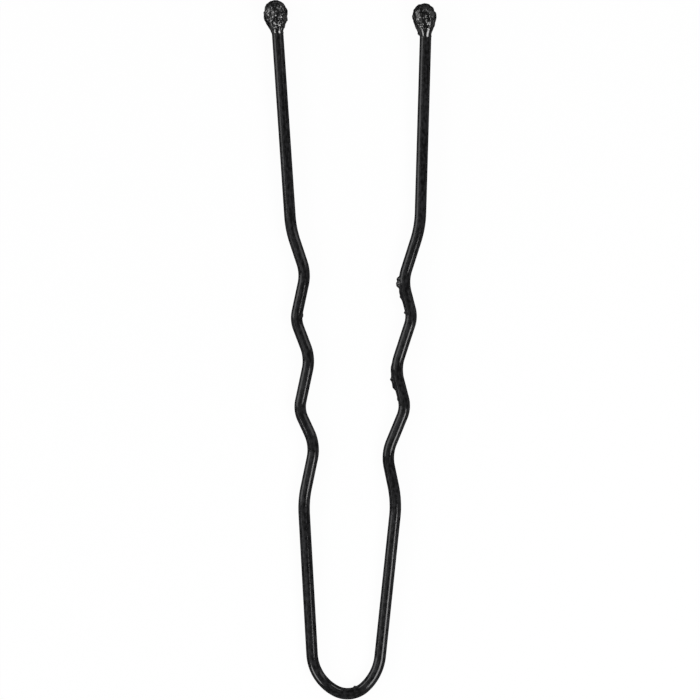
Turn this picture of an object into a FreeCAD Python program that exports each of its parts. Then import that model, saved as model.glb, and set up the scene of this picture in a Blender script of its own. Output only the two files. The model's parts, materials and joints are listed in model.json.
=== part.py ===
"""Crimped U-shaped hairpin with dipped ball tips.

The pin lies flat. X runs across it from the left leg to the right leg, Y runs along it from the bow
to the tips, and Z points up from the surface that it lies on. The origin is on that surface, in the
middle of the pin's length and width. Lengths are in millimetres and angles in degrees.

Each half of the wire is laid out in the pin's plane from the crown of the bow: outwards, away from
the other leg, and along, towards the tips. A lean is the angle that the wire makes outwards from the
along direction, so the wire leans 90 degrees at the crown and only a few degrees in the legs.
"""

import FreeCAD
import Part
import math
import os
from collections import namedtuple

# Wire, measured over its lacquer
WIRE_DIAMETER = 1.08

# Bow: a tight crown between two wider shoulders, with radii to the middle of the wire
CROWN_RADIUS = 2.37
LEFT_CROWN_TURN_ANGLE = 27.7
RIGHT_CROWN_TURN_ANGLE = 42.7
LEFT_SHOULDER_RADIUS = 4.11
RIGHT_SHOULDER_RADIUS = 4.53

# Shanks: straight wire from the bow to the corner of the first bend
LEFT_SHANK_LENGTH = 14.3
RIGHT_SHANK_LENGTH = 14.5
LEFT_SHANK_LEAN_ANGLE = 3.2
RIGHT_SHANK_LEAN_ANGLE = 6.0
FLEX_LENGTH = 4.4  # of each shank, from the bow to the place that the leg flexes about

# Crimp: three waves a leg, each from one outer bend in to a crest and out to the next outer bend
CRIMP_PITCH = 8.45
CRIMP_DEPTH = 1.34
END_BEND_RADIUS = 9.5
CREST_RADIUS = 3.8
OUTER_BEND_RADIUS = 2.6
BEND_ROOM_SHARE = 0.45  # of the shorter run beside a bend, the most that the bend may take up
DEPTH_SHARES = (1.0, 0.9, 0.86)
LEFT_PITCH_SHARES = (1.0, 0.99, 1.005)
RIGHT_PITCH_SHARES = (1.035, 1.0, 0.995)
LEFT_CREST_SHARES = (0.605, 0.575, 0.505)
RIGHT_CREST_SHARES = (0.49, 0.425, 0.39)
LEFT_WAVE_LEAN_ANGLES = (2.9, 2.1, 3.0)
RIGHT_WAVE_LEAN_ANGLES = (5.65, 4.1, 5.0)

# Points: straight wire from the corner of the last bend to the neck of the tip
LEFT_POINT_LENGTH = 18.3
RIGHT_POINT_LENGTH = 17.8
LEFT_POINT_LEAN_ANGLE = 3.85
RIGHT_POINT_LEAN_ANGLE = 1.65

# Tips: egg-shaped beads that hang a little to one side of the wire, as they set after dipping
TIP_DIAMETER = 2.22
TIP_LENGTH = 3.0
TIP_LIP = 0.04
TIP_COVER = 1.0  # resin between the wire's end and the end of the bead
TAPER_SHARE = 0.65  # of the radius of an arc from the widest place straight to the lip
LEFT_TIP_LEAN_ANGLE = 6.0
RIGHT_TIP_LEAN_ANGLE = -3.0

CROWN_LEAN_ANGLE = 90.0
FULL_TURN_ANGLE = 360.0
WIRE_RADIUS = WIRE_DIAMETER / 2
TIP_RADIUS = TIP_DIAMETER / 2
SOCKET_DEPTH = TIP_LENGTH - TIP_COVER

Half = namedtuple(
    "Half",
    "side crown_turn shoulder_radius shank_length shank_lean pitch_shares crest_shares wave_leans "
    "point_length point_lean tip_lean",
)

LEFT = Half(
    side=-1,
    crown_turn=LEFT_CROWN_TURN_ANGLE,
    shoulder_radius=LEFT_SHOULDER_RADIUS,
    shank_length=LEFT_SHANK_LENGTH,
    shank_lean=LEFT_SHANK_LEAN_ANGLE,
    pitch_shares=LEFT_PITCH_SHARES,
    crest_shares=LEFT_CREST_SHARES,
    wave_leans=LEFT_WAVE_LEAN_ANGLES,
    point_length=LEFT_POINT_LENGTH,
    point_lean=LEFT_POINT_LEAN_ANGLE,
    tip_lean=LEFT_TIP_LEAN_ANGLE,
)

RIGHT = Half(
    side=1,
    crown_turn=RIGHT_CROWN_TURN_ANGLE,
    shoulder_radius=RIGHT_SHOULDER_RADIUS,
    shank_length=RIGHT_SHANK_LENGTH,
    shank_lean=RIGHT_SHANK_LEAN_ANGLE,
    pitch_shares=RIGHT_PITCH_SHARES,
    crest_shares=RIGHT_CREST_SHARES,
    wave_leans=RIGHT_WAVE_LEAN_ANGLES,
    point_length=RIGHT_POINT_LENGTH,
    point_lean=RIGHT_POINT_LEAN_ANGLE,
    tip_lean=RIGHT_TIP_LEAN_ANGLE,
)


def heading(side, lean):
    """Unit vector along wire that leans this much on this side of the pin."""
    angle = math.radians(lean)
    return FreeCAD.Vector(side * math.sin(angle), math.cos(angle), 0)


class WireLine:
    """The middle line of one half of the wire, drawn on from its end as lines and tangent arcs."""

    def __init__(self, side, start, lean):
        self.side = side
        self.end = start
        self.lean = lean
        self.edges = []

    def run(self, length):
        """Go straight on."""
        start = self.end
        self.end = start + heading(self.side, self.lean) * length
        self.edges.append(Part.LineSegment(start, self.end).toShape())

    def bend(self, radius, lean):
        """Turn to a new lean."""
        start = self.end
        middle = self.arc_point(radius, (self.lean + lean) / 2)
        self.end = self.arc_point(radius, lean)
        self.lean = lean
        self.edges.append(Part.Arc(start, middle, self.end).toShape())

    def arc_point(self, radius, lean):
        """The point where an arc that sets out from the end of the line reaches this lean."""
        here = math.radians(self.lean)
        there = math.radians(lean)
        hand = math.copysign(1, there - here)
        outward = hand * radius * (math.cos(here) - math.cos(there))
        along = hand * radius * (math.sin(there) - math.sin(here))
        return self.end + FreeCAD.Vector(self.side * outward, along, 0)


def round_wire(edges, start, direction):
    """Wire of round section along a line of edges, from the end of the line that is given."""
    circle = Part.Circle(start, direction, WIRE_RADIUS)
    section = Part.Face(Part.Wire(circle.toShape()))
    return Part.Wire(edges).makePipe(section)


def half_bow(half):
    """Half of the bow's middle line, from the crown to the place that the leg flexes about."""
    line = WireLine(half.side, FreeCAD.Vector(0, 0, 0), CROWN_LEAN_ANGLE)
    line.bend(CROWN_RADIUS, CROWN_LEAN_ANGLE - half.crown_turn)
    line.bend(half.shoulder_radius, half.shank_lean)
    line.run(FLEX_LENGTH)
    return line


def wave_runs(half):
    """Length and lean of each straight run of the crimp, from corner to corner."""
    runs = []
    waves = zip(half.pitch_shares, half.crest_shares, half.wave_leans, DEPTH_SHARES)
    for pitch_share, crest_share, lean, depth_share in waves:
        pitch = CRIMP_PITCH * pitch_share
        depth = CRIMP_DEPTH * depth_share
        way_in = pitch * crest_share
        way_out = pitch - way_in
        runs.append((math.hypot(way_in, depth), lean - math.degrees(math.atan2(depth, way_in))))
        runs.append((math.hypot(way_out, depth), lean + math.degrees(math.atan2(depth, way_out))))
    return runs


def bend_radii(run_count):
    """Radius of each bend between the runs: wide at both ends, with crests and outer bends between."""
    radii = [CREST_RADIUS if bend % 2 else OUTER_BEND_RADIUS for bend in range(run_count - 1)]
    radii[0] = END_BEND_RADIUS
    radii[-1] = END_BEND_RADIUS
    return radii


def leg_line(half):
    """The leg's middle line, from the place that it flexes about to the wire's end in the tip."""
    foot = half_bow(half)
    shank = (half.shank_length - FLEX_LENGTH, half.shank_lean)
    point = (half.point_length, half.point_lean)
    runs = [shank] + wave_runs(half) + [point]
    line = WireLine(half.side, foot.end, half.shank_lean)
    taken = 0
    for (length, lean), (next_length, next_lean), radius in zip(runs, runs[1:], bend_radii(len(runs))):
        half_turn = math.radians(abs(next_lean - lean)) / 2
        room = min(length, next_length) * BEND_ROOM_SHARE
        tangent = min(radius * math.tan(half_turn), room)
        line.run(length - taken - tangent)
        line.bend(tangent / math.tan(half_turn), next_lean)
        taken = tangent
    line.run(half.point_length - taken + SOCKET_DEPTH)
    return line


def neck(half):
    """Middle of the tip's neck, where the bare wire goes into the bead."""
    return leg_line(half).end - heading(half.side, half.point_lean) * SOCKET_DEPTH


def ball_centre(half):
    """Middle of the ball at the end of the tip."""
    return neck(half) + heading(half.side, half.tip_lean) * (TIP_LENGTH - TIP_RADIUS)


def make_bow():
    """The closed end of the pin, up to the places that the two legs flex about."""
    left = half_bow(LEFT)
    right = half_bow(RIGHT)
    return round_wire(left.edges[::-1] + right.edges, left.end, heading(LEFT.side, LEFT.shank_lean))


def make_leg(half):
    """One leg: what is left of the shank, the crimp and the point."""
    foot = half_bow(half).end
    return round_wire(leg_line(half).edges, foot, heading(half.side, half.shank_lean))


def bead_outline():
    """Half outline of the bead, with its radius along X and its height above the neck along Y."""
    lip_radius = WIRE_RADIUS + TIP_LIP
    ball_height = TIP_LENGTH - TIP_RADIUS
    overhang = TIP_RADIUS - lip_radius
    taper_radius = TAPER_SHARE * (overhang ** 2 + ball_height ** 2) / (2 * overhang)
    taper_centre = TIP_RADIUS - taper_radius
    reach = lip_radius - taper_centre
    away = math.hypot(reach, ball_height)
    meeting = math.atan2(reach, ball_height) + math.acos(taper_radius / away)

    def taper_point(angle):
        radius = taper_centre + taper_radius * math.sin(angle)
        return FreeCAD.Vector(radius, ball_height - taper_radius * math.cos(angle), 0)

    def ball_point(angle):
        radius = TIP_RADIUS * math.cos(angle)
        return FreeCAD.Vector(radius, ball_height + TIP_RADIUS * math.sin(angle), 0)

    quarter = math.pi / 2
    foot = FreeCAD.Vector(0, 0, 0)
    lip = FreeCAD.Vector(lip_radius, 0, 0)
    taper_start = taper_point(meeting)
    widest = ball_point(0)
    top = ball_point(quarter)
    return Part.Wire([
        Part.LineSegment(foot, lip).toShape(),
        Part.LineSegment(lip, taper_start).toShape(),
        Part.Arc(taper_start, taper_point((meeting + quarter) / 2), widest).toShape(),
        Part.Arc(widest, ball_point(quarter / 2), top).toShape(),
        Part.LineSegment(top, foot).toShape(),
    ])


def make_tip(half, leg):
    """One bead, turned about its own axis, with a socket that is the wire's own shape."""
    axis = FreeCAD.Vector(0, 1, 0)
    bead = Part.Face(bead_outline()).revolve(FreeCAD.Vector(0, 0, 0), axis, FULL_TURN_ANGLE)
    turn = FreeCAD.Rotation(axis, heading(half.side, half.tip_lean))
    bead.Placement = FreeCAD.Placement(neck(half), turn)
    return bead.cut(leg).Solids[0]


def resting_place():
    """Move that puts the middle of the pin over the origin, with the balls on the surface."""
    left = ball_centre(LEFT)
    right = ball_centre(RIGHT)
    top = max(left.y, right.y) + TIP_RADIUS
    bottom = -WIRE_RADIUS
    return FreeCAD.Vector(-(left.x + right.x) / 2, -(top + bottom) / 2, TIP_RADIUS)


def make_parts():
    """Every piece of the pin by name, where it lies."""
    left_leg = make_leg(LEFT)
    right_leg = make_leg(RIGHT)
    parts = {
        "bow": make_bow(),
        "left_leg": left_leg,
        "right_leg": right_leg,
        "left_tip": make_tip(LEFT, left_leg),
        "right_tip": make_tip(RIGHT, right_leg),
    }
    for shape in parts.values():
        shape.translate(resting_place())
    return parts


def main():
    os.makedirs("parts", exist_ok=True)
    for name, shape in make_parts().items():
        shape.exportStep(f"parts/{name}.step")


if __name__ == "__main__":
    main()
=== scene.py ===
"""Looks of a crimped hairpin with dipped ball tips, laid out as an add-on and run as a script.

Lengths are in metres and angles in radians. The pin lies flat: X runs across it from the left leg to
the right leg, Y runs along it from the bow to the tips, and Z points up.

One wire runs from the left tip, down the left leg, round the bow and up the right leg. A place on its
surface is told by how far it is along the wire from the crown of the bow, less than zero on the left,
by how far it is out, away from the inside of the pin, and by its height above the wire's middle.
"""

import json
import math
from collections import namedtuple

import bpy
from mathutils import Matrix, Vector


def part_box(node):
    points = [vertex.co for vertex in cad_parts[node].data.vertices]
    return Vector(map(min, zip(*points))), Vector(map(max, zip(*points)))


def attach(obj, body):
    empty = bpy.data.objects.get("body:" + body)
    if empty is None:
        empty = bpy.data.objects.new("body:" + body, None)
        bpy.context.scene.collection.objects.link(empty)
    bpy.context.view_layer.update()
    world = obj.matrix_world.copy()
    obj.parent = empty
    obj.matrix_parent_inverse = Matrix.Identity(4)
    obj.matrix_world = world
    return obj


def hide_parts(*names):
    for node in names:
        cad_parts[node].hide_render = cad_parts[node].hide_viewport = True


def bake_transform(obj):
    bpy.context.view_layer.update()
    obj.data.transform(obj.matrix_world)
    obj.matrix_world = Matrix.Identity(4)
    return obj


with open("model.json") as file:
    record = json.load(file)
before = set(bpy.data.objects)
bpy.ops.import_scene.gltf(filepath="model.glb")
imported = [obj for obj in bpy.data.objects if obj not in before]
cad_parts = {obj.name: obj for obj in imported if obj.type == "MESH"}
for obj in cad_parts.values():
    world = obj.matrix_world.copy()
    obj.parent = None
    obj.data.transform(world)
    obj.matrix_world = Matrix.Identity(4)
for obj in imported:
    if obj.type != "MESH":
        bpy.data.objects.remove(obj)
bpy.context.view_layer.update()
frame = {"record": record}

bl_info = {
    "name": "Crimped Hairpin",
    "version": (1, 0, 0),
    "blender": (4, 5, 0),
    "location": "3D View > Sidebar > Hairpin",
    "description": "Builds a crimped wire hairpin with dipped ball tips on its packed frame",
    "category": "Add Mesh",
}

MM = 0.001
SIDES = ("left", "right")
PLACE = "place"
SKIN = "skin"

CROWN_LEAN = math.radians(90)
ARC_STEP = math.radians(0.5)
SHARP_ANGLE = math.radians(70)
RING_SIDES = 48

# The part of a raised spot's reach that is flat on top.
SPOT_TOP = 0.2

# The resin's skin: the shift from one seed to the next, how closely its crumbs are bent and set, the level
# that they rise from, and the width of a fold.
SEED_STEP = 0.01
CRUMB_BEND = 0.7
CRUMB_SET = 0.8
CRUMB_LEVEL = 0.45
FOLD_WIDTH = 0.14

# The stage. The floor shows itself as white by FLOOR_GLOW, and keeps its shadow by the rest.
IMAGE_WIDTH = 65.11 * MM
CAMERA_DISTANCE = 600 * MM
SENSOR_WIDTH = 36.0
FLOOR_REACH = 3.0
FLOOR_GLOW = 0.96
WORLD_LEVEL = 0.08

# A soft box that faces the pin: its direction in degrees, turned from +X towards +Y and raised from the
# floor, its distance and its sides in metres, and its brightness, which is 1 for white paper.
SoftBox = namedtuple("SoftBox", "name turn rise distance width height level")

SOFT_BOXES = (
    SoftBox("right_soft_box", turn=-34, rise=44.5, distance=0.2, width=0.108, height=0.088, level=8.6),
    SoftBox("far_right_soft_box", turn=23.5, rise=26, distance=0.2, width=0.04, height=0.16, level=1.6),
    SoftBox("upper_right_soft_box", turn=58, rise=32, distance=0.2, width=0.08, height=0.06, level=4),
    SoftBox("upper_left_soft_box", turn=142, rise=32, distance=0.2, width=0.08, height=0.06, level=4),
    SoftBox("left_soft_box", turn=165.5, rise=19, distance=0.4, width=0.196, height=0.29, level=2.8),
    SoftBox("high_left_soft_box", turn=180, rise=60, distance=0.2, width=0.14, height=0.09, level=0.4),
    SoftBox("middle_left_soft_box", turn=196, rise=29.5, distance=0.2, width=0.056, height=0.04, level=1.6),
    SoftBox("low_left_soft_box", turn=219.5, rise=30.5, distance=0.2, width=0.072, height=0.076, level=7.2),
)

# How a surface takes light: its darkest and lightest shade as shares of its colour, and the noise that these
# stand for; its roughness where it is shiniest and dullest; how far it is turned away where its gloss begins
# to fade and ends; its index of refraction; and the strength of its grain.
Look = namedtuple("Look", "shades noise_range roughness gloss_fade ior grain")

LACQUER_LOOK = Look(
    shades=(0.5, 2.5),
    noise_range=(-0.17, 0.2),
    roughness=(0.09, 0.14),
    gloss_fade=(0.15, 0.45),
    ior=1.37,
    grain=0.4,
)
RESIN_LOOK = Look(
    shades=(0.2, 0.8),
    noise_range=(-0.25, 0.25),
    roughness=(0.08, 0.16),
    gloss_fade=(0.2, 0.5),
    ior=1.7,
    grain=0.15,
)

# Gloss of a surface that faces the viewer, the noise that the roughness stands for, and how much clouds add
# to the flecks and drag marks to the orange peel.
FULL_GLOSS = 0.5
CLOUD_RANGE = (-0.3, 0.3)
CLOUD_SHARE = 0.5
DRAG_SHARE = 0.7

Half = namedtuple(
    "Half",
    "name index side crown_turn shoulder_radius shank_length shank_lean pitch_shares crest_shares wave_leans "
    "point_length point_lean tip_lean",
)

# A raised spot: its middle, told by the distance along the piece in mm, the turn round it in degrees from
# outwards by way of upwards, and the distance from the piece's middle line in mm, then its reach along and
# round the piece and its height, in mm. A dent has a height below zero.
Spot = namedtuple("Spot", "along turn off length width height")

WIRE_SPOTS = (
    Spot(along=40.82, turn=176, off=0.54, length=0.26, width=0.34, height=0.19),
    Spot(along=40.62, turn=180, off=0.60, length=0.30, width=0.34, height=0.05),
    Spot(along=40.36, turn=182, off=0.54, length=0.38, width=0.40, height=0.25),
    Spot(along=39.48, turn=176, off=0.54, length=0.75, width=0.36, height=0.08),
    Spot(along=39.28, turn=172, off=0.58, length=0.20, width=0.24, height=0.06),
    Spot(along=37.73, turn=176, off=0.54, length=0.20, width=0.24, height=0.12),
    Spot(along=32.15, turn=178, off=0.54, length=0.65, width=0.36, height=0.07),
    Spot(along=31.15, turn=180, off=0.54, length=0.80, width=0.40, height=0.15),
    Spot(along=31.38, turn=180, off=0.62, length=0.18, width=0.26, height=0.09),
    Spot(along=30.72, turn=184, off=0.60, length=0.24, width=0.32, height=0.07),
    Spot(along=30.52, turn=180, off=0.58, length=0.26, width=0.34, height=0.09),
    Spot(along=29.45, turn=180, off=0.54, length=0.22, width=0.24, height=0.05),
    Spot(along=0.88, turn=180, off=0.54, length=0.22, width=0.26, height=0.09),
    Spot(along=-37.50, turn=178, off=0.54, length=0.34, width=0.34, height=0.07),
)

TIP_SPOTS = {
    "left": (
        Spot(along=1.75, turn=82, off=1.10, length=0.32, width=0.30, height=0.07),
        Spot(along=1.10, turn=170, off=0.98, length=0.36, width=0.40, height=0.09),
        Spot(along=2.27, turn=0, off=1.03, length=0.32, width=0.50, height=-0.09),
        Spot(along=1.15, turn=0, off=0.97, length=0.70, width=0.50, height=0.045),
        Spot(along=2.40, turn=180, off=0.98, length=0.60, width=0.50, height=-0.05),
        Spot(along=1.30, turn=180, off=1.03, length=0.28, width=0.45, height=-0.08),
        Spot(along=0.70, turn=180, off=0.80, length=0.24, width=0.40, height=-0.11),
        Spot(along=0.22, turn=180, off=0.62, length=0.50, width=0.50, height=-0.08),
    ),
    "right": (
        Spot(along=1.50, turn=76, off=1.05, length=0.38, width=0.30, height=-0.11),
        Spot(along=0.15, turn=178, off=0.62, length=0.22, width=0.30, height=0.08),
        Spot(along=0.35, turn=0, off=0.66, length=0.75, width=0.55, height=-0.10),
        Spot(along=2.32, turn=0, off=1.00, length=0.32, width=0.50, height=-0.11),
        Spot(along=1.76, turn=180, off=1.08, length=0.35, width=0.45, height=0.07),
        Spot(along=0.62, turn=180, off=0.78, length=0.75, width=0.50, height=0.07),
        Spot(along=2.82, turn=180, off=0.68, length=0.30, width=0.40, height=0.07),
    ),
}


def length(name, description, default):
    """A length that the user can set, with its default in metres."""
    return bpy.props.FloatProperty(
        name=name,
        description=description,
        default=default,
        min=0,
        precision=5,
        unit="LENGTH",
        subtype="DISTANCE",
    )


def lengths(name, description, *millimetres):
    """Lengths that the user can set together, with their defaults in millimetres."""
    return bpy.props.FloatVectorProperty(
        name=name,
        description=description,
        default=[value * MM for value in millimetres],
        size=len(millimetres),
        min=0,
        precision=5,
        unit="LENGTH",
    )


def angles(name, description, *degrees):
    """Angles that the user can set together, with their defaults in degrees."""
    return bpy.props.FloatVectorProperty(
        name=name,
        description=description,
        default=[math.radians(value) for value in degrees],
        size=len(degrees),
        unit="ROTATION",
    )


def shares(name, description, *values):
    """Shares of another size that the user can set together."""
    return bpy.props.FloatVectorProperty(
        name=name, description=description, default=values, size=len(values), min=0, subtype="NONE"
    )


def share(name, description, default):
    """A share from 0 to 1 that the user can set."""
    return bpy.props.FloatProperty(
        name=name, description=description, default=default, min=0, max=1, subtype="FACTOR"
    )


def colour(name, description, default):
    """A colour that the user can set, as linear light."""
    return bpy.props.FloatVectorProperty(
        name=name, description=description, default=default, size=3, min=0, max=1, subtype="COLOR"
    )


def height_of(node):
    """Height of a CAD node's box."""
    low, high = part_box(node)
    return high.z - low.z


def record_colour(slot):
    """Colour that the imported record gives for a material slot."""
    return next(m["base_color"] for m in frame["record"]["materials"] if m["slot"] == slot)


class HairpinWire(bpy.types.PropertyGroup):
    """Sizes of the bent wire."""

    diameter: length("Wire Diameter", "Diameter of the wire over its lacquer", height_of("bow"))
    crown_radius: length("Crown Radius", "Radius of the middle of the bow", 2.37 * MM)
    crown_turns: angles("Crown Turns", "How far the crown turns to the left and to the right", 27.7, 42.7)
    shoulder_radii: lengths("Shoulder Radii", "Radii of the left and right sides of the bow", 4.11, 4.53)
    shank_lengths: lengths("Shank Lengths", "Straight wire from the bow to the first bend", 14.3, 14.5)
    shank_leans: angles("Shank Leans", "How far the left and right shanks lean outwards", 3.2, 6.0)
    flex_length: length("Flex Length", "Wire from the bow to the place that a leg flexes about", 4.4 * MM)
    flex_reach: length("Flex Reach", "Wire each way from that place that bends with the leg", 4.2 * MM)
    crimp_pitch: length("Crimp Pitch", "Length of one wave", 8.45 * MM)
    crimp_depth: length("Crimp Depth", "Depth of one wave", 1.34 * MM)
    depth_shares: shares("Depth Shares", "Depth of each wave, from the bow", 1.0, 0.9, 0.86)
    left_pitch_shares: shares("Left Pitch Shares", "Length of each left wave", 1.0, 0.99, 1.005)
    right_pitch_shares: shares("Right Pitch Shares", "Length of each right wave", 1.035, 1.0, 0.995)
    left_crest_shares: shares("Left Crest Shares", "Place of each crest in its wave", 0.605, 0.575, 0.505)
    right_crest_shares: shares("Right Crest Shares", "Place of each crest in its wave", 0.49, 0.425, 0.39)
    left_wave_leans: angles("Left Wave Leans", "How far each left wave leans outwards", 2.9, 2.1, 3.0)
    right_wave_leans: angles("Right Wave Leans", "How far each right wave leans outwards", 5.65, 4.1, 5.0)
    end_bend_radius: length("End Bend Radius", "Radius of the first and the last bend of a leg", 9.5 * MM)
    crest_radius: length("Crest Radius", "Radius of the inner bends", 3.8 * MM)
    outer_bend_radius: length("Outer Bend Radius", "Radius of the outer bends", 2.6 * MM)
    bend_room: share("Bend Room", "Most of the shorter run beside it that a bend takes up", 0.45)
    point_lengths: lengths("Point Lengths", "Straight wire from the last bend to the tip", 18.3, 17.8)
    point_leans: angles("Point Leans", "How far the left and right points lean outwards", 3.85, 1.65)
    ring_step: length("Ring Step", "Distance between the rings of the mesh", 0.07 * MM)
    ring_sides: bpy.props.IntProperty(
        name="Ring Sides", description="Faces round the wire", default=RING_SIDES, min=8
    )


class HairpinTip(bpy.types.PropertyGroup):
    """Sizes of the dipped tips."""

    diameter: length("Tip Diameter", "Diameter of the ball", height_of("left_tip"))
    total_length: length("Tip Length", "Length of the bead from its neck", 3.0 * MM)
    lip: length("Lip", "Thickness of the resin at the neck", 0.04 * MM)
    cover: length("Cover", "Resin beyond the end of the wire", 1.0 * MM)
    taper: share("Taper", "Radius of the taper, as a share of one arc from the ball to the neck", 0.65)
    film: length("Film", "How far the resin creeps along the wire each way from the neck", 0.08 * MM)
    leans: angles("Tip Leans", "How far the left and right tips lean outwards", 6.0, -3.0)
    smooth_necks: lengths("Smooth Necks", "Length over which the skin of each tip grows rough", 0.48, 1.0)
    wrinkle_sizes: lengths("Wrinkle Sizes", "Distance between the wrinkles of each tip", 0.42, 0.3)
    wrinkle_heights: lengths("Wrinkle Heights", "Height of the wrinkles of each tip", 0.03, 0.02)
    crumb_sizes: lengths("Crumb Sizes", "Width of a crumb of each tip", 0.3, 0.2)
    crumb_heights: lengths("Crumb Heights", "Height of the crumbs of each tip", 0.03, 0.02)
    swell_size: length("Swell Size", "Width of the uneven swellings", 0.36 * MM)
    swell_height: length("Swell Height", "Height of the uneven swellings", 0.14 * MM)
    seeds: bpy.props.IntVectorProperty(
        name="Seeds", description="Which of many uneven skins each tip has", size=2, default=(23, 10)
    )
    mesh_step: length("Mesh Step", "Distance between the rings and the sides of the mesh", 0.03 * MM)


class HairpinFinish(bpy.types.PropertyGroup):
    """Colours and surfaces."""

    lacquer_colour: colour("Lacquer Colour", "Colour of the wire", record_colour("black_lacquer"))
    resin_colour: colour("Resin Colour", "Colour of the tips", record_colour("tip_resin"))
    ripple_height: length("Ripple Height", "Unevenness of the lacquer", 0.008 * MM)
    ripple_length: length("Ripple Length", "Length of the unevenness along the wire", 1.6 * MM)
    cloud_size: length("Cloud Size", "Width of the lacquer's shiny and dull clouds", 0.5 * MM)
    cloud_draw: share("Cloud Draw", "How closely clouds follow each other along the wire", 0.12)
    fleck_size: length("Fleck Size", "Width of the lacquer's light and dark flecks", 0.26 * MM)
    fleck_draw: share("Fleck Draw", "How closely flecks follow each other along the wire", 0.6)
    drag_size: length("Drag Size", "Width of the drag marks that drawing left on the wire", 0.1 * MM)
    drag_draw: share("Drag Draw", "How closely drag marks follow each other along the wire", 0.04)
    peel_size: length("Peel Size", "Width of the lacquer's orange peel", 0.14 * MM)
    stain_size: length("Stain Size", "Width of the resin's light and dark stains", 0.35 * MM)
    grit_size: length("Grit Size", "Width of the finest grain of the resin", 0.06 * MM)
    grain_depth: length("Grain Depth", "Depth of the orange peel and of the finest grain", 0.01 * MM)
    floor_colour: colour("Floor Colour", "Colour of the floor", (0.95, 0.95, 0.95))


class NodeSheet:
    """A node tree that is being drawn up, with short calls for the nodes that it needs."""

    def __init__(self, tree):
        self.tree = tree

    def node(self, kind, inputs=None, **settings):
        """Adds a node with its settings, then fills its inputs from values or from other nodes' outputs."""
        made = self.tree.nodes.new(kind)
        for name, value in settings.items():
            setattr(made, name, value)
        for key, value in (inputs or {}).items():
            if isinstance(value, bpy.types.NodeSocket):
                self.tree.links.new(value, made.inputs[key])
            else:
                made.inputs[key].default_value = value
        return made

    def math(self, operation, *values):
        """Sum, product or the like of numbers."""
        return self.node("ShaderNodeMath", dict(enumerate(values)), operation=operation).outputs[0]

    def vector(self, operation, *values):
        """Sum, product or the like of vectors."""
        made = self.node("ShaderNodeVectorMath", dict(enumerate(values)), operation=operation)
        return made.outputs["Vector"]

    def number(self, operation, *values):
        """A number worked out from vectors, such as a length or a dot product."""
        made = self.node("ShaderNodeVectorMath", dict(enumerate(values)), operation=operation)
        return made.outputs["Value"]

    def scaled(self, vector, factor):
        """A vector times a number."""
        made = self.node("ShaderNodeVectorMath", {0: vector, "Scale": factor}, operation="SCALE")
        return made.outputs["Vector"]

    def noise(self, place, size, detail=2.0):
        """Soft noise about zero, from -0.5 to 0.5, with features of this size."""
        inputs = {"Vector": place, "Scale": 1 / size, "Detail": detail}
        return self.math("SUBTRACT", self.node("ShaderNodeTexNoise", inputs).outputs[0], 0.5)

    def ramp(self, value, low, high, start=0.0, end=1.0, kind="SMOOTHSTEP"):
        """Value taken from low to high, and spread from start to end."""
        inputs = {0: value, 1: low, 2: high, 3: start, 4: end}
        return self.node("ShaderNodeMapRange", inputs, interpolation_type=kind).outputs[0]


def new_geometry_tree(name, inputs, geometry_out=True):
    """A geometry tree with named inputs, given as name: (socket type, default), and its sheet."""
    tree = bpy.data.node_groups.new(name, "GeometryNodeTree")
    for label, (kind, default) in inputs.items():
        socket = tree.interface.new_socket(label, in_out="INPUT", socket_type=kind)
        if default is not None:
            socket.default_value = default
    out_kind = "NodeSocketGeometry" if geometry_out else "NodeSocketFloat"
    tree.interface.new_socket("Result", in_out="OUTPUT", socket_type=out_kind)
    return NodeSheet(tree)


def raised_spot_tree():
    """How far one raised spot lifts the surface: flat on top, with a steep rounded edge."""
    sheet = new_geometry_tree(
        "raised_spot",
        {
            "Place": ("NodeSocketVector", None),
            "Middle": ("NodeSocketVector", None),
            "Reach": ("NodeSocketVector", None),
            "Height": ("NodeSocketFloat", 0.0),
        },
        geometry_out=False,
    )
    given = sheet.node("NodeGroupInput").outputs
    apart = sheet.vector("DIVIDE", sheet.vector("SUBTRACT", given["Place"], given["Middle"]), given["Reach"])
    top = sheet.ramp(sheet.number("LENGTH", apart), 1.0, SPOT_TOP)
    sheet.node("NodeGroupOutput", {0: sheet.math("MULTIPLY", top, given["Height"])})
    return sheet.tree


def lift_of_spots(sheet, spot_tree, place, spots):
    """How far all the raised spots together lift the surface."""
    lift = 0.0
    for spot in spots:
        turn = math.radians(spot.turn)
        inputs = {
            "Place": place,
            "Middle": Vector((spot.along, spot.off * math.cos(turn), spot.off * math.sin(turn))) * MM,
            "Reach": Vector((spot.length, spot.width, spot.width)) * MM,
            "Height": spot.height * MM,
        }
        one = sheet.node("GeometryNodeGroup", inputs, node_tree=spot_tree).outputs[0]
        lift = sheet.math("ADD", lift, one)
    return lift


def finish_tree(sheet, geometry, material):
    """Ends a tree: smooth faces, real meshes in place of instances, and the material."""
    smooth = sheet.node("GeometryNodeSetShadeSmooth", {"Geometry": geometry}).outputs[0]
    real = sheet.node("GeometryNodeRealizeInstances", {"Geometry": smooth}).outputs[0]
    painted = sheet.node("GeometryNodeSetMaterial", {"Geometry": real, "Material": material}).outputs[0]
    sheet.node("NodeGroupOutput", {0: painted})


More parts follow.
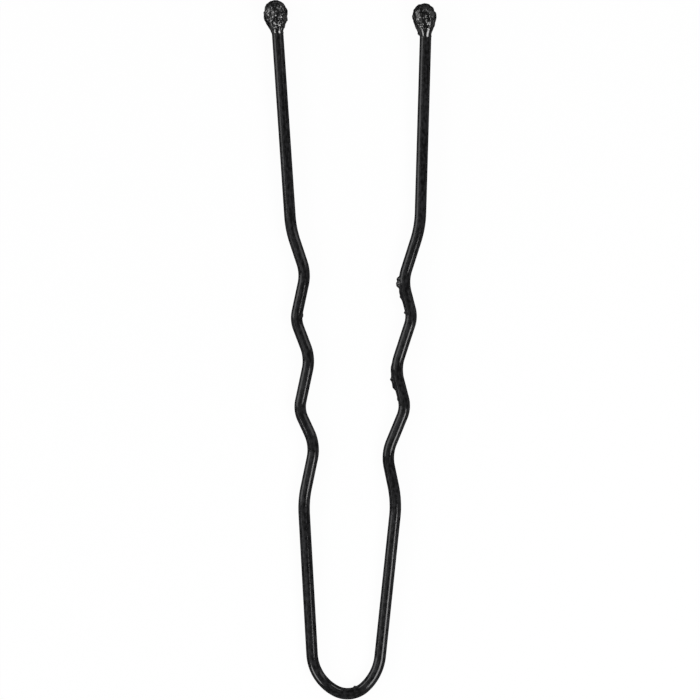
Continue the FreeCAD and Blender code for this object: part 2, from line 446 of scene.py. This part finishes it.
def wire_tree(spot_tree):
    """Round wire along a curve, with the unevenness and the raised spots of its lacquer."""
    sheet = new_geometry_tree(
        "lacquered_wire",
        {
            "Line": ("NodeSocketGeometry", None),
            "Start": ("NodeSocketFloat", 0.0),
            "Wire Diameter": ("NodeSocketFloat", MM),
            "Ring Step": ("NodeSocketFloat", MM),
            "Ring Sides": ("NodeSocketInt", RING_SIDES),
            "Ripple Height": ("NodeSocketFloat", 0.0),
            "Ripple Length": ("NodeSocketFloat", MM),
            "Material": ("NodeSocketMaterial", None),
        },
    )
    given = sheet.node("NodeGroupInput").outputs
    spacing = {"Curve": given["Line"], "Length": given["Ring Step"]}
    even = sheet.node("GeometryNodeResampleCurve", spacing, mode="LENGTH")

    held = sheet.node("GeometryNodeCaptureAttribute")
    held.capture_items.new("VECTOR", "Middle")
    held.capture_items.new("VECTOR", "Heading")
    held.capture_items.new("FLOAT", "Along")
    sheet.tree.links.new(even.outputs[0], held.inputs[0])
    sheet.tree.links.new(sheet.node("GeometryNodeInputPosition").outputs[0], held.inputs["Middle"])
    sheet.tree.links.new(sheet.node("GeometryNodeInputTangent").outputs[0], held.inputs["Heading"])
    sheet.tree.links.new(sheet.node("GeometryNodeSplineParameter").outputs["Length"], held.inputs["Along"])

    radius = sheet.math("DIVIDE", given["Wire Diameter"], 2.0)
    round_form = {"Resolution": given["Ring Sides"], "Radius": radius}
    ring = sheet.node("GeometryNodeCurvePrimitiveCircle", round_form)
    tube = sheet.node(
        "GeometryNodeCurveToMesh",
        {"Curve": held.outputs[0], "Profile Curve": ring.outputs[0], "Fill Caps": True},
    )

    position = sheet.node("GeometryNodeInputPosition").outputs[0]
    spoke = sheet.vector("SUBTRACT", position, held.outputs["Middle"])
    outwards = sheet.vector("CROSS_PRODUCT", held.outputs["Heading"], (0.0, 0.0, 1.0))
    place = sheet.node(
        "ShaderNodeCombineXYZ",
        {
            0: sheet.math("ADD", given["Start"], held.outputs["Along"]),
            1: sheet.number("DOT_PRODUCT", spoke, outwards),
            2: sheet.number("DOT_PRODUCT", spoke, (0.0, 0.0, 1.0)),
        },
    ).outputs[0]

    ripple_place = sheet.vector("DIVIDE", place, given["Ripple Length"])
    ripple = sheet.math("MULTIPLY", sheet.noise(ripple_place, 1.0, 3.0), given["Ripple Height"])
    lift = sheet.math("ADD", ripple, lift_of_spots(sheet, spot_tree, place, WIRE_SPOTS))
    offset = sheet.scaled(sheet.vector("NORMALIZE", spoke), lift)
    lifted = sheet.node("GeometryNodeSetPosition", {"Geometry": tube.outputs[0], "Offset": offset})
    marked = sheet.node(
        "GeometryNodeStoreNamedAttribute",
        {"Geometry": lifted.outputs[0], "Name": PLACE, "Value": place},
        data_type="FLOAT_VECTOR",
        domain="POINT",
    )
    finish_tree(sheet, marked.outputs[0], given["Material"])
    return sheet.tree


def bead_tree(name, spot_tree, spots):
    """Dipped bead: the smooth bead swells unevenly and its skin is full of crumbs."""
    sheet = new_geometry_tree(
        name,
        {
            "Bead": ("NodeSocketGeometry", None),
            "Wrinkle Size": ("NodeSocketFloat", MM),
            "Wrinkle Height": ("NodeSocketFloat", 0.0),
            "Crumb Size": ("NodeSocketFloat", MM),
            "Crumb Height": ("NodeSocketFloat", 0.0),
            "Swell Size": ("NodeSocketFloat", MM),
            "Swell Height": ("NodeSocketFloat", 0.0),
            "Seed": ("NodeSocketInt", 0),
            "Material": ("NodeSocketMaterial", None),
        },
    )
    given = sheet.node("NodeGroupInput").outputs
    place = sheet.node("GeometryNodeInputNamedAttribute", {"Name": PLACE}, data_type="FLOAT_VECTOR")
    skin = sheet.node("GeometryNodeInputNamedAttribute", {"Name": SKIN}, data_type="FLOAT").outputs[0]
    shift = sheet.math("MULTIPLY", given["Seed"], SEED_STEP)
    position = sheet.vector("ADD", sheet.node("GeometryNodeInputPosition").outputs[0], shift)

    swell = sheet.noise(sheet.vector("DIVIDE", position, given["Swell Size"]), 1.0, 0.0)
    crumb_place = sheet.vector("DIVIDE", position, given["Crumb Size"])
    bend = sheet.node("ShaderNodeTexNoise", {"Vector": crumb_place, "Scale": CRUMB_BEND, "Detail": 1.0})
    bent_place = sheet.vector("ADD", crumb_place, bend.outputs["Color"])
    cells = sheet.node("ShaderNodeTexVoronoi", {"Vector": bent_place, "Scale": CRUMB_SET}, feature="F1")
    crumb = sheet.math("SUBTRACT", CRUMB_LEVEL, cells.outputs["Distance"])
    wrinkle_place = sheet.vector("DIVIDE", position, given["Wrinkle Size"])
    folds = sheet.math("ABSOLUTE", sheet.noise(wrinkle_place, 1.0, 1.0))
    wrinkle = sheet.ramp(folds, FOLD_WIDTH, 0.0)
    lift = sheet.math("MULTIPLY", swell, given["Swell Height"])
    lift = sheet.math("ADD", lift, sheet.math("MULTIPLY", wrinkle, given["Wrinkle Height"]))
    lift = sheet.math("ADD", lift, sheet.math("MULTIPLY", crumb, given["Crumb Height"]))
    bare = sheet.math("GREATER_THAN", skin, 0.0)
    spot_lift = sheet.math("MULTIPLY", lift_of_spots(sheet, spot_tree, place.outputs[0], spots), bare)
    lift = sheet.math("ADD", sheet.math("MULTIPLY", lift, skin), spot_lift)
    normal = sheet.node("GeometryNodeInputNormal").outputs[0]
    offset = sheet.scaled(normal, lift)
    lifted = sheet.node("GeometryNodeSetPosition", {"Geometry": given["Bead"], "Offset": offset})
    finish_tree(sheet, lifted.outputs[0], given["Material"])
    return sheet.tree


def grown_mesh(source, tree, values):
    """Plain mesh that a geometry tree makes from an object, with the tree's inputs set by name."""
    modifier = source.modifiers.new("grow", "NODES")
    modifier.node_group = tree
    sockets = [item for item in tree.interface.items_tree if item.in_out == "INPUT"]
    for socket in sockets:
        if socket.name in values:
            modifier[socket.identifier] = values[socket.name]
    bpy.context.view_layer.update()
    seen = source.evaluated_get(bpy.context.evaluated_depsgraph_get())
    mesh = bpy.data.meshes.new_from_object(seen)
    source.modifiers.remove(modifier)
    return mesh


def link(name, data):
    """New object in the scene."""
    made = bpy.data.objects.new(name, data)
    bpy.context.scene.collection.objects.link(made)
    return made


def piece_from(source, name, tree, values):
    """The piece that a tree makes from a source object, which is then removed."""
    mesh = grown_mesh(source, tree, values)
    mesh.name = name
    mesh.set_sharp_from_angle(angle=SHARP_ANGLE)
    bpy.data.objects.remove(source)
    return link(name, mesh)


def half_sizes(name):
    """Sizes of one half of the wire, from the panel."""
    wire = bpy.context.scene.hairpin_wire
    tip = bpy.context.scene.hairpin_tip
    index = SIDES.index(name)
    return Half(
        name=name,
        index=index,
        side=(-1, 1)[index],
        crown_turn=wire.crown_turns[index],
        shoulder_radius=wire.shoulder_radii[index],
        shank_length=wire.shank_lengths[index],
        shank_lean=wire.shank_leans[index],
        pitch_shares=getattr(wire, f"{name}_pitch_shares"),
        crest_shares=getattr(wire, f"{name}_crest_shares"),
        wave_leans=getattr(wire, f"{name}_wave_leans"),
        point_length=wire.point_lengths[index],
        point_lean=wire.point_leans[index],
        tip_lean=tip.leans[index],
    )


def heading(side, lean):
    """Unit vector along wire that leans this much on this side of the pin."""
    return Vector((side * math.sin(lean), math.cos(lean), 0))


def crown_place():
    """Middle of the wire at the crown of the bow."""
    mounts = frame["record"]["mounts"]
    return Vector(next(mount["pos_m"] for mount in mounts if mount["name"] == "bow_crown"))


class WireLine:
    """The middle line of one half of the wire, drawn on from the crown as straight runs and tangent arcs."""

    def __init__(self, side):
        self.side = side
        self.lean = CROWN_LEAN
        self.points = [crown_place()]

    def run(self, distance):
        """Go straight on."""
        self.points.append(self.points[-1] + heading(self.side, self.lean) * distance)

    def bend(self, radius, lean):
        """Turn to a new lean."""
        start = self.points[-1]
        begun = self.lean
        hand = math.copysign(radius, lean - begun)
        steps = math.ceil(abs(lean - begun) / ARC_STEP)
        for step in range(1, steps + 1):
            now = begun + (lean - begun) * step / steps
            outward = hand * (math.cos(begun) - math.cos(now))
            along = hand * (math.sin(now) - math.sin(begun))
            self.points.append(start + Vector((self.side * outward, along, 0)))
        self.lean = lean


def wave_runs(half):
    """Length and lean of each straight run of the crimp, from corner to corner."""
    wire = bpy.context.scene.hairpin_wire
    runs = []
    waves = zip(half.pitch_shares, half.crest_shares, half.wave_leans, wire.depth_shares)
    for pitch_share, crest_share, lean, depth_share in waves:
        pitch = wire.crimp_pitch * pitch_share
        depth = wire.crimp_depth * depth_share
        way_in = pitch * crest_share
        way_out = pitch - way_in
        runs.append((math.hypot(way_in, depth), lean - math.atan2(depth, way_in)))
        runs.append((math.hypot(way_out, depth), lean + math.atan2(depth, way_out)))
    return runs


def bend_radii(run_count):
    """Radius of each bend between the runs: wide at both ends, with crests and outer bends between."""
    wire = bpy.context.scene.hairpin_wire
    radii = [wire.crest_radius if bend % 2 else wire.outer_bend_radius for bend in range(run_count - 1)]
    radii[0] = wire.end_bend_radius
    radii[-1] = wire.end_bend_radius
    return radii


def socket_depth():
    """How far the wire goes into a tip."""
    tip = bpy.context.scene.hairpin_tip
    return tip.total_length - tip.cover


def half_line(half):
    """Points along the middle of half of the wire, from the crown to its end in the tip."""
    wire = bpy.context.scene.hairpin_wire
    line = WireLine(half.side)
    line.bend(wire.crown_radius, CROWN_LEAN - half.crown_turn)
    line.bend(half.shoulder_radius, half.shank_lean)
    runs = [(half.shank_length, half.shank_lean)] + wave_runs(half) + [(half.point_length, half.point_lean)]
    taken = 0
    for (distance, lean), (next_distance, next_lean), radius in zip(runs, runs[1:], bend_radii(len(runs))):
        half_turn = abs(next_lean - lean) / 2
        room = min(distance, next_distance) * wire.bend_room
        tangent = min(radius * math.tan(half_turn), room)
        line.run(distance - taken - tangent)
        line.bend(tangent / math.tan(half_turn), next_lean)
        taken = tangent
    line.run(half.point_length - taken + socket_depth())
    return line.points


def seam_distance(half):
    """Distance along the wire from the crown to where the mesh of the bow ends and that of a leg begins."""
    wire = bpy.context.scene.hairpin_wire
    crown = wire.crown_radius * half.crown_turn
    shoulder = half.shoulder_radius * (CROWN_LEAN - half.crown_turn - half.shank_lean)
    return crown + shoulder + wire.flex_length - wire.flex_reach


def whole_line():
    """Points of the whole wire from left to right, each with its distance along from the crown."""
    marked = []
    for half in map(half_sizes, SIDES):
        points = half_line(half)
        along = 0
        side = [(0, points[0])]
        for before, after in zip(points, points[1:]):
            along += (after - before).length
            side.append((half.side * along, after))
        marked += side[:0:-1] if half.side < 0 else side
    return marked


def stretch(marked, start, end):
    """Points of the wire between two distances along it, both ends included."""
    points = []
    for (along, point), (next_along, next_point) in zip(marked, marked[1:]):
        for cut in (start, end):
            if along < cut < next_along:
                points.append(point.lerp(next_point, (cut - along) / (next_along - along)))
        if start <= next_along <= end:
            points.append(next_point)
    if start <= marked[0][0]:
        points.insert(0, marked[0][1])
    return points


def wire_piece(name, marked, start, end, tree, material):
    """The mesh of one stretch of the wire."""
    wire = bpy.context.scene.hairpin_wire
    finish = bpy.context.scene.hairpin_finish
    curve = bpy.data.curves.new(f"{name}_line", "CURVE")
    curve.dimensions = "3D"
    spline = curve.splines.new("POLY")
    points = stretch(marked, start, end)
    spline.points.add(len(points) - 1)
    for spot, point in zip(spline.points, points):
        spot.co = (*point, 1)
    curve.twist_mode = "Z_UP"
    values = {
        "Start": max(start, marked[0][0]),
        "Wire Diameter": wire.diameter,
        "Ring Step": wire.ring_step,
        "Ring Sides": wire.ring_sides,
        "Ripple Height": finish.ripple_height,
        "Ripple Length": finish.ripple_length,
        "Material": material,
    }
    return piece_from(link(f"{name}_line", curve), name, tree, values)


def shared(collection, name, make):
    """A tree or material by name, made when it is first asked for."""
    return collection.get(name) or make()


def lacquered_wire_tree():
    """The tree that the bow and both legs share."""
    spot_tree = shared(bpy.data.node_groups, "raised_spot", raised_spot_tree)
    return shared(bpy.data.node_groups, "lacquered_wire", lambda: wire_tree(spot_tree))


def new_material(name):
    """A material with an empty sheet, and its shader."""
    material = bpy.data.materials.new(name)
    material.use_nodes = True
    material.node_tree.nodes.clear()
    sheet = NodeSheet(material.node_tree)
    shader = sheet.node("ShaderNodeBsdfPrincipled")
    sheet.node("ShaderNodeOutputMaterial", {"Surface": shader.outputs[0]})
    return material, sheet, shader


def fill_shader(sheet, shader, look, colour_base, shade, clouds, grain):
    """Colour by shade, roughness by clouds, gloss that fades towards the rim, and bumps by grain."""
    finish = bpy.context.scene.hairpin_finish
    darkest, lightest = ((*(Vector(colour_base) * part), 1) for part in look.shades)
    mix = {"Factor": sheet.ramp(shade, *look.noise_range), "A": darkest, "B": lightest}
    facing = sheet.node("ShaderNodeLayerWeight").outputs["Facing"]
    relief = {"Height": grain, "Strength": look.grain, "Distance": finish.grain_depth}
    sources = {
        "Base Color": sheet.node("ShaderNodeMix", mix, data_type="RGBA").outputs["Result"],
        "Roughness": sheet.ramp(clouds, *CLOUD_RANGE, *look.roughness),
        "Specular IOR Level": sheet.ramp(facing, *look.gloss_fade, FULL_GLOSS, 0.0),
        "Normal": sheet.node("ShaderNodeBump", relief).outputs[0],
    }
    for name, source in sources.items():
        sheet.tree.links.new(source, shader.inputs[name])
    shader.inputs["IOR"].default_value = look.ior


def lacquer_material():
    """Satin black lacquer on drawn wire: faint clouds and flecks, lengthwise drag marks and orange peel."""
    finish = bpy.context.scene.hairpin_finish
    material, sheet, shader = new_material("satin_lacquer")
    place = sheet.node("ShaderNodeAttribute", attribute_name=PLACE).outputs["Vector"]

    def drawn_noise(draw, size, detail):
        return sheet.noise(sheet.vector("MULTIPLY", place, (draw, 1.0, 1.0)), size, detail)

    clouds = drawn_noise(finish.cloud_draw, finish.cloud_size, 3.0)
    flecks = drawn_noise(finish.fleck_draw, finish.fleck_size, 2.0)
    drag = drawn_noise(finish.drag_draw, finish.drag_size, 2.0)
    peel = sheet.noise(place, finish.peel_size, 2.0)
    shade = sheet.math("ADD", flecks, sheet.math("MULTIPLY", clouds, CLOUD_SHARE))
    grain = sheet.math("ADD", peel, sheet.math("MULTIPLY", drag, DRAG_SHARE))
    fill_shader(sheet, shader, LACQUER_LOOK, finish.lacquer_colour, shade, clouds, grain)
    return material


def resin_material():
    """Black dipped resin with a rough, grainy skin."""
    finish = bpy.context.scene.hairpin_finish
    material, sheet, shader = new_material("grainy_resin")
    place = sheet.node("ShaderNodeTexCoord").outputs["Object"]
    stains = sheet.noise(place, finish.stain_size, 3.0)
    grit = sheet.noise(place, finish.grit_size, 2.0)
    fill_shader(sheet, shader, RESIN_LOOK, finish.resin_colour, stains, stains, grit)
    return material


def black_lacquer():
    """The lacquer that the bow and both legs share."""
    return shared(bpy.data.materials, "satin_lacquer", lacquer_material)


def bead_outline():
    """Outer outline of the bead as (radius, height above the neck), from its film on the wire to the top."""
    wire = bpy.context.scene.hairpin_wire
    tip = bpy.context.scene.hairpin_tip
    wire_radius = wire.diameter / 2
    tip_radius = tip.diameter / 2
    lip_radius = wire_radius + tip.lip
    ball_height = tip.total_length - tip_radius
    overhang = tip_radius - lip_radius
    taper_radius = tip.taper * (overhang ** 2 + ball_height ** 2) / (2 * overhang)
    taper_centre = tip_radius - taper_radius
    reach = lip_radius - taper_centre
    meeting = math.atan2(reach, ball_height) + math.acos(taper_radius / math.hypot(reach, ball_height))
    quarter = math.pi / 2

    def taper_point(angle):
        spoke = Vector((math.sin(angle), -math.cos(angle))) * taper_radius
        return Vector((taper_centre, ball_height)) + spoke

    def ball_point(angle):
        return Vector((0, ball_height)) + Vector((math.cos(angle), math.sin(angle))) * tip_radius

    lip = Vector((lip_radius, 0))
    cone = (taper_point(meeting) - lip).normalized()
    corner = lip - cone * (tip.lip / cone.x)
    film_start = corner - Vector((0, tip.film))
    film_end = corner + cone * tip.film
    step = tip.mesh_step
    film_steps = math.ceil(2 * tip.film / step)
    outline = []
    for index in range(film_steps + 1):
        done = index / film_steps
        outline.append(film_start.lerp(corner, done).lerp(corner.lerp(film_end, done), done))
    cone_end = taper_point(meeting)
    cone_steps = max(1, math.ceil((cone_end - film_end).length / step))
    outline += [film_end.lerp(cone_end, index / cone_steps) for index in range(1, cone_steps + 1)]
    taper_turn = quarter - meeting
    taper_steps = math.ceil(taper_radius * taper_turn / step)
    for index in range(1, taper_steps + 1):
        outline.append(taper_point(meeting + taper_turn * index / taper_steps))
    ball_steps = math.ceil(tip_radius * quarter / step)
    outline += [ball_point(quarter * index / ball_steps) for index in range(1, ball_steps + 1)]
    return outline


def smooth_share(value, low, high):
    """0 at low and below, 1 at high and above, and smooth between."""
    part = min(1, max(0, (value - low) / (high - low)))
    return part * part * (3 - 2 * part)


def bead_mesh(half):
    """Smooth bead round the end of the wire, with its socket, marked with places for its spots and skin."""
    wire = bpy.context.scene.hairpin_wire
    tip = bpy.context.scene.hairpin_tip
    depth = socket_depth()
    wire_radius = wire.diameter / 2
    neck = half_line(half)[-1] - heading(half.side, half.point_lean) * depth
    outline = bead_outline()
    sides = math.ceil(math.pi * tip.diameter / tip.mesh_step)
    smooth_neck = tip.smooth_necks[half.index]
    up = Vector((0, 0, 1))
    rings = [(wire_radius, depth, half.point_lean, 0)]
    for radius, height in outline:
        turned = smooth_share(height, 0, tip.diameter / 2)
        lean = half.point_lean + (half.tip_lean - half.point_lean) * turned
        rings.append((radius, height, lean, smooth_share(height, 0, smooth_neck)))

    verts, places, skins, faces = [], [], [], []
    for radius, height, lean, skin in rings[:-1]:
        forward = heading(half.side, lean)
        across = heading(half.side, lean + CROWN_LEAN)
        for side in range(sides):
            turn = 2 * math.pi * side / sides
            out, rise = radius * math.cos(turn), radius * math.sin(turn)
            verts.append(neck + forward * height + across * out + up * rise)
            places.append((height, out, rise))
            skins.append(skin)
    for ring in range(len(rings) - 2):
        for side in range(sides):
            after = (side + 1) % sides
            low, high = ring * sides, (ring + 1) * sides
            faces.append((low + side, low + after, high + after, high + side))
    last_ring = len(rings) - 2
    poles = [(half.point_lean, depth, 0, 0, -1), (half.tip_lean, tip.total_length, 1, last_ring, 1)]
    for lean, height, skin, ring, way in poles:
        pole = len(verts)
        verts.append(neck + heading(half.side, lean) * height)
        places.append((height, 0, 0))
        skins.append(skin)
        for side in range(sides):
            faces.append((ring * sides + side, ring * sides + (side + way) % sides, pole))
    if half.side > 0:
        faces = [face[::-1] for face in faces]

    mesh = bpy.data.meshes.new(f"{half.name}_bead")
    mesh.from_pydata(verts, [], faces)
    flat_places = [value for place in places for value in place]
    mesh.attributes.new(PLACE, "FLOAT_VECTOR", "POINT").data.foreach_set("vector", flat_places)
    mesh.attributes.new(SKIN, "FLOAT", "POINT").data.foreach_set("value", skins)
    return mesh


class HAIRPIN_OT_bow(bpy.types.Operator):
    """Build the bow, the closed end of the pin"""

    bl_idname = "hairpin.bow"
    bl_label = "Bow"

    def execute(self, context):
        start = -seam_distance(half_sizes("left"))
        end = seam_distance(half_sizes("right"))
        bow = wire_piece("bow_wire", whole_line(), start, end, lacquered_wire_tree(), black_lacquer())
        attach(bow, "bow")
        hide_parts("bow")
        return {"FINISHED"}


class HAIRPIN_OT_legs(bpy.types.Operator):
    """Build both legs, from their seams with the bow to their ends in the tips"""

    bl_idname = "hairpin.legs"
    bl_label = "Legs"

    def execute(self, context):
        marked = whole_line()
        for name in SIDES:
            half = half_sizes(name)
            seam = seam_distance(half)
            start, end = (marked[0][0], -seam) if half.side < 0 else (seam, marked[-1][0])
            leg = wire_piece(f"{name}_leg_wire", marked, start, end, lacquered_wire_tree(), black_lacquer())
            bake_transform(leg)
            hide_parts(f"{name}_leg")
        return {"FINISHED"}


class HAIRPIN_OT_tips(bpy.types.Operator):
    """Build both dipped tips"""

    bl_idname = "hairpin.tips"
    bl_label = "Tips"

    def execute(self, context):
        tip = context.scene.hairpin_tip
        material = resin_material()
        spot_tree = shared(bpy.data.node_groups, "raised_spot", raised_spot_tree)
        for name in SIDES:
            half = half_sizes(name)
            tree = bead_tree(f"{name}_dipped_bead", spot_tree, TIP_SPOTS[name])
            # What rises on the left skin sinks on the right one.
            way = -half.side
            values = {
                "Wrinkle Size": tip.wrinkle_sizes[half.index],
                "Wrinkle Height": tip.wrinkle_heights[half.index] * way,
                "Crumb Size": tip.crumb_sizes[half.index],
                "Crumb Height": tip.crumb_heights[half.index] * way,
                "Swell Size": tip.swell_size,
                "Swell Height": tip.swell_height * way,
                "Seed": tip.seeds[half.index],
                "Material": material,
            }
            source = link(f"{name}_bead", bead_mesh(half))
            bead = piece_from(source, f"{name}_tip_bead", tree, values)
            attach(bead, f"{name}_leg")
            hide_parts(f"{name}_tip")
        return {"FINISHED"}


def floor_material():
    """White floor that keeps part of the pin's shadow."""
    material = bpy.data.materials.new("floor")
    material.use_nodes = True
    material.node_tree.nodes.clear()
    sheet = NodeSheet(material.node_tree)
    base = bpy.context.scene.hairpin_finish.floor_colour
    plain = sheet.node("ShaderNodeBsdfDiffuse", {"Color": (*base, 1)})
    white = sheet.node("ShaderNodeEmission", {"Color": (1, 1, 1, 1), "Strength": 1.0})
    rays = sheet.node("ShaderNodeLightPath").outputs
    seen = sheet.math("MAXIMUM", rays["Is Camera Ray"], rays["Is Glossy Ray"])
    seen = sheet.math("MAXIMUM", seen, rays["Is Transmission Ray"])
    glow = sheet.math("MULTIPLY", seen, FLOOR_GLOW)
    mixed = sheet.node("ShaderNodeMixShader", {0: glow, 1: plain.outputs[0], 2: white.outputs[0]})
    sheet.node("ShaderNodeOutputMaterial", {"Surface": mixed.outputs[0]})
    return material


def add_floor():
    """Floor that the pin lies on, with both tips and the bow."""
    tip_low, tip_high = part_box("left_tip")
    bow_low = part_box("bow")[0]
    tip_y = (tip_low.y + tip_high.y) / 2
    slope = (bow_low.z - tip_low.z) / (bow_low.y - tip_y)
    corners = []
    for x, y in ((-1, -1), (1, -1), (1, 1), (-1, 1)):
        away = y * FLOOR_REACH
        corners.append((x * FLOOR_REACH, away, tip_low.z + slope * (away - tip_y)))
    mesh = bpy.data.meshes.new("floor")
    mesh.from_pydata(corners, [], [(0, 1, 2, 3)])
    mesh.materials.append(floor_material())
    link("floor", mesh)


def add_soft_box(box):
    """Lamp that faces the pin and isn't seen itself."""
    turn, rise = math.radians(box.turn), math.radians(box.rise)
    lamp = bpy.data.lights.new(box.name, "AREA")
    lamp.shape = "RECTANGLE"
    lamp.size = box.width
    lamp.size_y = box.height
    lamp.energy = math.pi * box.width * box.height * box.level
    away = Vector((math.cos(turn) * math.cos(rise), math.sin(turn) * math.cos(rise), math.sin(rise)))
    made = link(box.name, lamp)
    made.location = away * box.distance
    made.rotation_euler = away.to_track_quat("Z", "Y").to_euler()
    made.visible_camera = False


def add_world():
    """Faint even light from all round."""
    world = bpy.data.worlds.new("studio")
    world.use_nodes = True
    background = world.node_tree.nodes["Background"]
    background.inputs["Color"].default_value = (1, 1, 1, 1)
    background.inputs["Strength"].default_value = WORLD_LEVEL
    bpy.context.scene.world = world


def add_camera():
    """Camera straight above the middle of the pin."""
    camera = bpy.data.cameras.new("camera")
    camera.lens = SENSOR_WIDTH * CAMERA_DISTANCE / IMAGE_WIDTH
    camera.sensor_width = SENSOR_WIDTH
    camera.clip_start = MM
    made = link("camera", camera)
    made.location = (0, 0, crown_place().z + CAMERA_DISTANCE)
    bpy.context.scene.camera = made


class HAIRPIN_OT_stage(bpy.types.Operator):
    """Build the floor, the lamps and the camera"""

    bl_idname = "hairpin.stage"
    bl_label = "Stage"

    def execute(self, context):
        context.scene.view_settings.view_transform = "Standard"
        add_floor()
        for box in SOFT_BOXES:
            add_soft_box(box)
        add_world()
        add_camera()
        return {"FINISHED"}


class HAIRPIN_PT_panel(bpy.types.Panel):
    """Sizes, colours and pieces of the hairpin"""

    bl_idname = "HAIRPIN_PT_panel"
    bl_label = "Hairpin"
    bl_space_type = "VIEW_3D"
    bl_region_type = "UI"
    bl_category = "Hairpin"

    def draw(self, context):
        for group in (context.scene.hairpin_wire, context.scene.hairpin_tip, context.scene.hairpin_finish):
            box = self.layout.box()
            for name in group.__annotations__:
                box.prop(group, name)
        for operator in OPERATORS:
            self.layout.operator(operator.bl_idname)


GROUPS = {"hairpin_wire": HairpinWire, "hairpin_tip": HairpinTip, "hairpin_finish": HairpinFinish}
OPERATORS = (HAIRPIN_OT_stage, HAIRPIN_OT_bow, HAIRPIN_OT_legs, HAIRPIN_OT_tips)
CLASSES = (*GROUPS.values(), *OPERATORS, HAIRPIN_PT_panel)


def register():
    for made in CLASSES:
        bpy.utils.register_class(made)
    for name, group in GROUPS.items():
        setattr(bpy.types.Scene, name, bpy.props.PointerProperty(type=group))


def unregister():
    for name in GROUPS:
        delattr(bpy.types.Scene, name)
    for made in reversed(CLASSES):
        bpy.utils.unregister_class(made)


def main():
    register()
    bpy.ops.hairpin.stage()
    bpy.ops.hairpin.bow()
    bpy.ops.hairpin.legs()
    bpy.ops.hairpin.tips()


if __name__ == "__main__":
    main()
